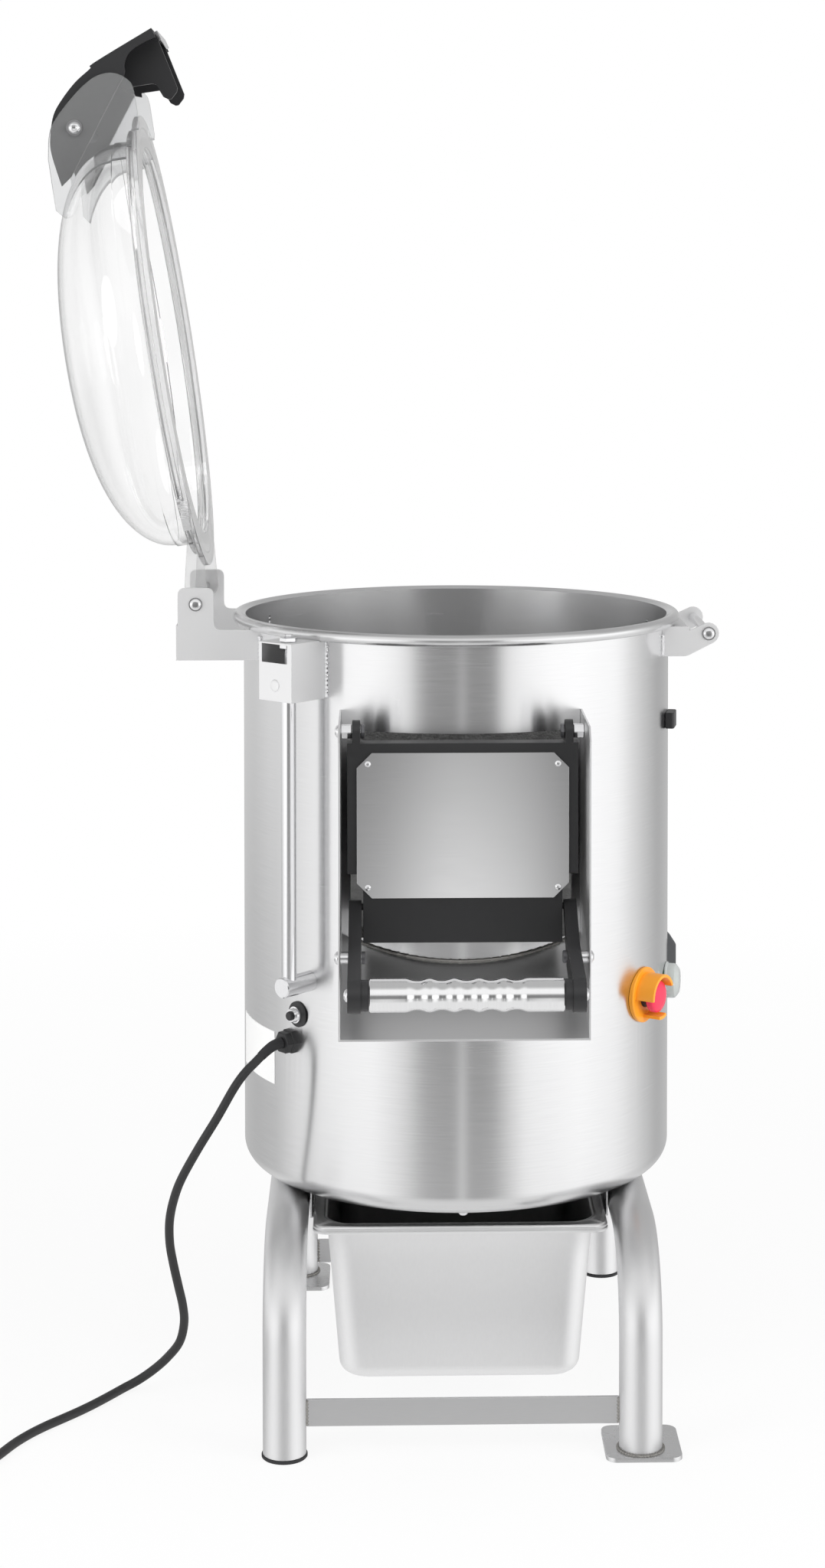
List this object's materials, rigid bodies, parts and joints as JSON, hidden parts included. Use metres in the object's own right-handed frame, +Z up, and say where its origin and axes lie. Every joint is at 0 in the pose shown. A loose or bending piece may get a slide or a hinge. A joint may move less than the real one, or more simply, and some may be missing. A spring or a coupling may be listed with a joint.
{
  "type": "electric potato peeler",
  "caption": "Floor-standing electric potato peeler: steel drum on a tube stand, hinged clear lid with latch, lever-worked discharge door and chute, and a pull-out peel pan.",
  "frame": {"origin": "bottom centre of the box round the whole machine with its lid open, cord left out", "axes": "+Z up, -Y the side with the discharge door, +X the side with the stop button"},
  "size_m": [0.7712, 0.5976, 1.2542],
  "materials": {
    "brushed_steel": "vertical brushed grain",
    "satin_steel": "satin",
    "polished_steel": "polished",
    "aluminium": "bright turned",
    "dark_metal": "painted casting",
    "black_plastic": "fine texture",
    "black_rubber": "matt",
    "grey_plastic": "matt",
    "clear_plastic": "clear",
    "clear_boot": "translucent",
    "orange_plastic": "gloss",
    "red_plastic": "gloss",
    "green_plastic": "gloss",
    "abrasive": "coarse abrasive grit",
    "black_cord": "matt"
  },
  "bodies": {
    "base": {"drum_shell": "brushed_steel", "stand_tube_left": "satin_steel", "stand_tube_right": "satin_steel", "rubber_foot_front_left": "black_rubber", "rubber_foot_back_right": "black_rubber", "front_crossbar": "satin_steel", "back_crossbar": "satin_steel", "pan_rail_left": "satin_steel", "pan_rail_right": "satin_steel", "bottom_cover": "satin_steel", "chamber_floor": "satin_steel", "abrasive_liner": "abrasive", "bearing_housing": "dark_metal", "motor": "dark_metal", "drive_belt": "black_rubber", "contactor_box": "grey_plastic", "discharge_chute": "brushed_steel", "door_pivot_left": "polished_steel", "door_pivot_right": "polished_steel", "lever_pivot_left": "polished_steel", "lever_pivot_right": "polished_steel", "lid_hinge_bracket": "brushed_steel", "lid_hinge_pin": "polished_steel", "latch_bracket": "brushed_steel", "catch_pin": "polished_steel", "switch_box": "brushed_steel", "lid_sensor": "polished_steel", "wire_conduit": "satin_steel", "breaker_body": "black_plastic", "cable_gland": "black_plastic", "stop_guard": "orange_plastic", "stop_body": "black_plastic", "start_boot": "clear_boot", "start_contact": "black_plastic", "inlet_block": "black_plastic", "rear_hood": "grey_plastic", "power_cord": "black_cord", "cord_coil": "black_cord", "power_plug": "black_cord"},
    "pan": {"peel_pan": "polished_steel"},
    "turntable": {"turntable": "abrasive", "main_shaft": "dark_metal"},
    "motor_rotor": {"motor_pulley": "dark_metal"},
    "lid": {"lid_dome": "clear_plastic", "lid_ring": "clear_plastic", "latch_ear_front": "clear_plastic", "latch_ear_back": "clear_plastic", "lid_magnet": "polished_steel", "latch_bolt_front": "polished_steel", "latch_bolt_back": "polished_steel"},
    "latch": {"latch_lever": "black_plastic"},
    "door": {"door_panel": "black_plastic", "door_plate": "brushed_steel"},
    "door_lever": {"door_arm_left": "black_plastic", "door_arm_right": "black_plastic", "lever_grip": "aluminium"},
    "stop_actuator": {"stop_button": "red_plastic"},
    "start_actuator": {"start_button": "green_plastic"},
    "breaker_actuator": {"breaker_button": "black_plastic"}
  },
  "joints": [
    {"name": "lid_hinge", "type": "hinge", "parent": "base", "child": "lid", "pos_m": [-0.1748, 0.0508, 0.7294], "axis": [0, 1, 0], "range_deg": [0, 98.64]},
    {"name": "latch_hinge", "type": "hinge", "parent": "lid", "child": "latch", "pos_m": [-0.28278, 0.0508, 1.1631], "axis": [0, 1, 0], "range_deg": [-12, 0]},
    {"name": "door_lever", "type": "hinge", "parent": "base", "child": "door_lever", "pos_m": [0.0652, -0.2112, 0.446], "axis": [1, 0, 0], "range_deg": [0, 48]},
    {"name": "door_hinge", "type": "hinge", "parent": "base", "child": "door", "pos_m": [0.0652, -0.1642, 0.633], "axis": [-1, 0, 0], "range_deg": [0, 17.3]},
    {"name": "pan_slide", "type": "slide", "parent": "base", "child": "pan", "axis": [0, -1, 0], "range_m": [0, 0.06]},
    {"name": "turntable_spin", "type": "hinge", "parent": "base", "child": "turntable", "pos_m": [0.0652, 0.0508, 0.43], "axis": [0, 0, 1], "continuous": true},
    {"name": "motor_spin", "type": "hinge", "parent": "base", "child": "motor_rotor", "pos_m": [0.0652, 0.1558, 0.234], "axis": [0, 0, 1], "continuous": true},
    {"name": "stop_push", "type": "slide", "parent": "base", "child": "stop_actuator", "axis": [-0.8387, 0.5446, 0], "range_m": [0, 0.005]},
    {"name": "start_push", "type": "slide", "parent": "base", "child": "start_actuator", "axis": [-0.9744, 0.225, 0], "range_m": [0, 0.0025], "stiffness_N_per_m": 400, "springref_m": -0.001},
    {"name": "breaker_push", "type": "slide", "parent": "base", "child": "breaker_actuator", "axis": [0.7547, 0.6561, 0], "range_m": [0, 0.003], "stiffness_N_per_m": 400, "springref_m": -0.001}
  ],
  "couplings": [
    {"joint": "door_hinge", "follows": "door_lever", "ratio": 0.357},
    {"joint": "motor_spin", "follows": "turntable_spin", "ratio": 3}
  ]
}
